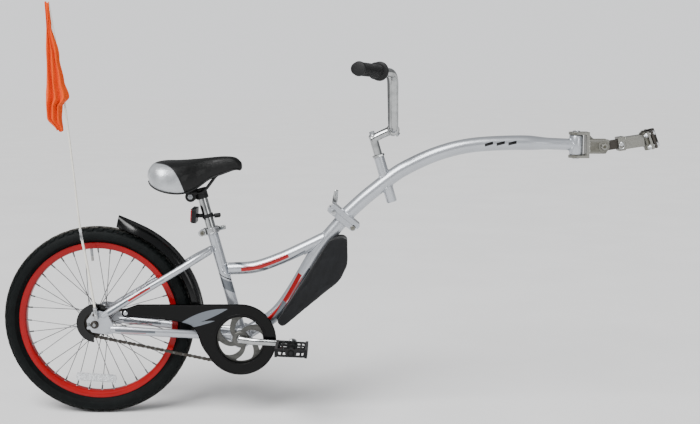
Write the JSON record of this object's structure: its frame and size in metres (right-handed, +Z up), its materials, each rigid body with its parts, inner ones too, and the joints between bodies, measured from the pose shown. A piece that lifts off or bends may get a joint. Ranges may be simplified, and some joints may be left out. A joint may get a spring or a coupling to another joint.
{
  "type": "trailer bicycle",
  "caption": "Child's one-wheel trailer bicycle with folding tow beam, cranks, chain, handlebar, saddle, fender, safety flag and a clamp for a tow bike's seatpost.",
  "frame": {"origin": "centre of the clamp that grips the tow bicycle's seatpost", "axes": "+X forward along the tow beam, +Y to the rider's left, +Z up"},
  "size_m": [1.7494, 0.5756, 1.095],
  "materials": {
    "silver_paint": "silver-white metallic paint under clear lacquer",
    "red_paint": "bright red enamel",
    "chrome": "bright plating",
    "zinc": "dull zinc plating",
    "dark_steel": "dark oiled steel",
    "grey_steel": "grey satin steel",
    "black_plastic": "matte black moulding",
    "black_gloss": "glossy black moulding with silver-grey stripes",
    "tyre_rubber": "black rubber",
    "grip_rubber": "soft black rubber",
    "saddle_skin": "smooth black cover with satin silver rear sides",
    "bag_fabric": "charcoal woven fabric",
    "flag_cloth": "bright orange cloth",
    "pole_plastic": "off-white glass-fibre rod",
    "clear_plastic": "clear moulded prisms",
    "red_plastic": "red lens in a black housing"
  },
  "bodies": {
    "frame": {"seat_tube": "silver_paint", "top_tube": "silver_paint", "down_tube": "silver_paint", "bottom_bracket_shell": "silver_paint", "chainstay_right": "silver_paint", "chainstay_left": "silver_paint", "seatstays": "silver_paint", "rear_fold_flange": "silver_paint", "fold_pin": "zinc", "fold_skewer": "zinc", "seat_clamp": "zinc", "seat_skewer": "zinc", "rear_axle": "zinc", "axle_nut_right": "zinc", "axle_nut_left": "zinc", "chain": "dark_steel", "chainguard": "black_gloss", "rear_chain_cover": "black_plastic", "fender": "black_plastic", "flag_bracket": "zinc", "flag_pole_lower": "pole_plastic", "flag_pole_upper": "pole_plastic", "flag": "flag_cloth", "bag": "bag_fabric"},
    "wheel": {"hub_and_spokes": "chrome", "rim": "red_paint", "tyre": "tyre_rubber", "inner_tube": "tyre_rubber", "spoke_reflector": "clear_plastic"},
    "sprocket": {"sprocket": "dark_steel"},
    "crank": {"cranks": "chrome", "chainring": "grey_steel", "crank_cone": "zinc", "crank_locknut": "zinc", "pedal_spindle_right": "zinc", "pedal_spindle_left": "zinc"},
    "pedal_right": {"pedal_right": "black_plastic"},
    "pedal_left": {"pedal_left": "black_plastic"},
    "seatpost": {"seatpost": "chrome", "saddle_clamp": "black_plastic", "post_reflector": "red_plastic"},
    "saddle": {"saddle_rails": "dark_steel", "saddle_base": "black_plastic", "saddle_cover": "saddle_skin"},
    "seat_lever": {"seat_lever": "chrome"},
    "fold_lever": {"fold_lever": "chrome"},
    "beam": {"beam": "silver_paint", "front_fold_flange": "silver_paint"},
    "stem": {"stem": "chrome"},
    "handlebar": {"handlebar": "chrome", "grip_right": "grip_rubber", "grip_left": "grip_rubber"},
    "yoke": {"hitch_yoke": "zinc", "yaw_pin": "zinc", "pivot_bolt": "zinc"},
    "tow_bar": {"drawbar": "dark_steel", "receiver": "zinc", "front_jaw": "dark_steel"},
    "lock_pin": {"lock_pin": "zinc"}
  },
  "joints": [
    {"name": "wheel_spin", "type": "hinge", "parent": "frame", "child": "wheel", "pos_m": [-1.46713, 0, -0.48598], "axis": [0, 1, 0], "continuous": true},
    {"name": "crank_spin", "type": "hinge", "parent": "frame", "child": "crank", "pos_m": [-1.08399, 0, -0.52977], "axis": [0, 1, 0], "continuous": true, "deforming": ["chain"]},
    {"name": "sprocket_spin", "type": "hinge", "parent": "frame", "child": "sprocket", "pos_m": [-1.46713, -0.041, -0.48598], "axis": [0, 1, 0], "continuous": true},
    {"name": "right_pedal_spin", "type": "hinge", "parent": "crank", "child": "pedal_right", "pos_m": [-0.94414, -0.12, -0.53636], "axis": [0, 1, 0], "continuous": true},
    {"name": "left_pedal_spin", "type": "hinge", "parent": "crank", "child": "pedal_left", "pos_m": [-1.22383, 0.12, -0.52317], "axis": [0, 1, 0], "continuous": true},
    {"name": "seatpost_slide", "type": "slide", "parent": "frame", "child": "seatpost", "axis": [-0.2588, 0, 0.9659], "range_m": [-0.015, 0.06]},
    {"name": "saddle_tilt", "type": "hinge", "parent": "seatpost", "child": "saddle", "pos_m": [-1.2136, 0, -0.15038], "axis": [0, 1, 0], "range_deg": [-15, 15]},
    {"name": "seat_lever_turn", "type": "hinge", "parent": "frame", "child": "seat_lever", "pos_m": [-1.18501, 0.02, -0.24935], "axis": [-0.2079, 0, 0.9781], "range_deg": [0, 150]},
    {"name": "beam_fold", "type": "hinge", "parent": "frame", "child": "beam", "pos_m": [-0.78522, 0, -0.23392], "axis": [0, 1, 0], "range_deg": [0, 110]},
    {"name": "fold_lever_turn", "type": "hinge", "parent": "frame", "child": "fold_lever", "pos_m": [-0.836, 0.032, -0.19192], "axis": [-0.9903, 0, 0.1392], "range_deg": [0, 150]},
    {"name": "stem_slide", "type": "slide", "parent": "beam", "child": "stem", "axis": [-0.2817, 0, 0.9595], "range_m": [-0.02, 0.05]},
    {"name": "handlebar_tilt", "type": "hinge", "parent": "stem", "child": "handlebar", "pos_m": [-0.67833, 0, 0.02532], "axis": [0, 1, 0], "range_deg": [-30, 30]},
    {"name": "hitch_yaw", "type": "hinge", "parent": "beam", "child": "yoke", "pos_m": [-0.19343, 0, -0.01478], "axis": [0, 0, 1], "range_deg": [-75, 75]},
    {"name": "hitch_pitch", "type": "hinge", "parent": "yoke", "child": "tow_bar", "pos_m": [-0.12363, 0, -0.01848], "axis": [0, 1, 0], "range_deg": [-40, 40]},
    {"name": "lock_pin_slide", "type": "slide", "parent": "tow_bar", "child": "lock_pin", "axis": [0, -1, 0], "range_m": [0, 0.045]}
  ],
  "couplings": [
    {"joint": "sprocket_spin", "follows": "crank_spin", "ratio": 2}
  ]
}
